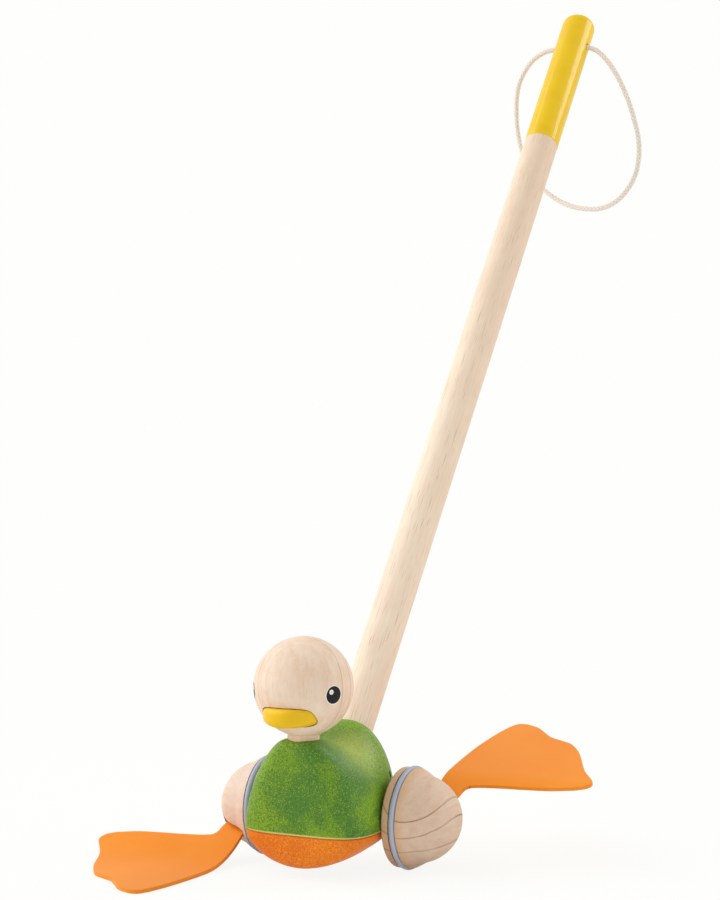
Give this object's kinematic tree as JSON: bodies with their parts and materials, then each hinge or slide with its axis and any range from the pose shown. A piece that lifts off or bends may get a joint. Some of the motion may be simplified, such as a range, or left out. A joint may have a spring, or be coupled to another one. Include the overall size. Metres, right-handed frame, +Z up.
{
  "type": "duck push toy",
  "caption": "Wooden duck push toy on domed wheels with flapping webbed rubber feet, a round head with a flat beak, and a long leaning stick with a painted grip and a wrist cord.",
  "frame": {"origin": "on the floor, under the middle of the axle", "axes": "+X along the axle to the duck's left, -Y the way the duck faces, +Z up"},
  "size_m": [0.2949, 0.5409, 0.5706],
  "materials": {
    "green_wood": "speckled green stain with a satin lacquer",
    "orange_wood": "speckled orange stain with a satin lacquer",
    "bare_wood": "bare pale wood, sanded smooth",
    "dowel_wood": "bare dowel",
    "stick_wood": "bare pale wood with a glossy yellow painted grip",
    "yellow_paint": "glossy yellow paint",
    "ring_rubber": "smooth blue-grey rubber",
    "foot_rubber": "smooth satin orange rubber",
    "bush_nylon": "natural nylon",
    "axle_steel": "drawn steel rod",
    "cotton_cord": "braided cotton"
  },
  "bodies": {
    "duck": {"body_shell": "green_wood", "belly": "orange_wood", "belly_dowel_front": "dowel_wood", "belly_dowel_rear": "dowel_wood", "head": "bare_wood", "neck_dowel": "dowel_wood", "beak": "yellow_paint", "stick": "stick_wood", "stick_pin": "dowel_wood", "axle_bush_left": "bush_nylon", "axle_bush_right": "bush_nylon", "wrist_cord": "cotton_cord"},
    "wheel_set": {"axle": "axle_steel", "wheel_left": "bare_wood", "wheel_right": "bare_wood", "tyre_left": "ring_rubber", "tyre_right": "ring_rubber", "foot_root_left": "foot_rubber", "foot_root_right": "foot_rubber"},
    "foot_left": {"foot_left": "foot_rubber"},
    "foot_right": {"foot_right": "foot_rubber"}
  },
  "joints": [
    {"name": "wheel_spin", "type": "hinge", "parent": "duck", "child": "wheel_set", "pos_m": [0, 0, 0.031], "axis": [1, 0, 0], "continuous": true},
    {"name": "foot_left_flex", "type": "hinge", "parent": "wheel_set", "child": "foot_left", "pos_m": [0.06245, 0.0225, 0.04426], "axis": [0.9272, -0.3228, -0.1901], "range_deg": [-60, 60], "stiffness_Nm_per_rad": 0.15},
    {"name": "foot_right_flex", "type": "hinge", "parent": "wheel_set", "child": "foot_right", "pos_m": [-0.06245, -0.0219, 0.01678], "axis": [-0.9272, 0.3142, 0.204], "range_deg": [-60, 60], "stiffness_Nm_per_rad": 0.15}
  ]
}
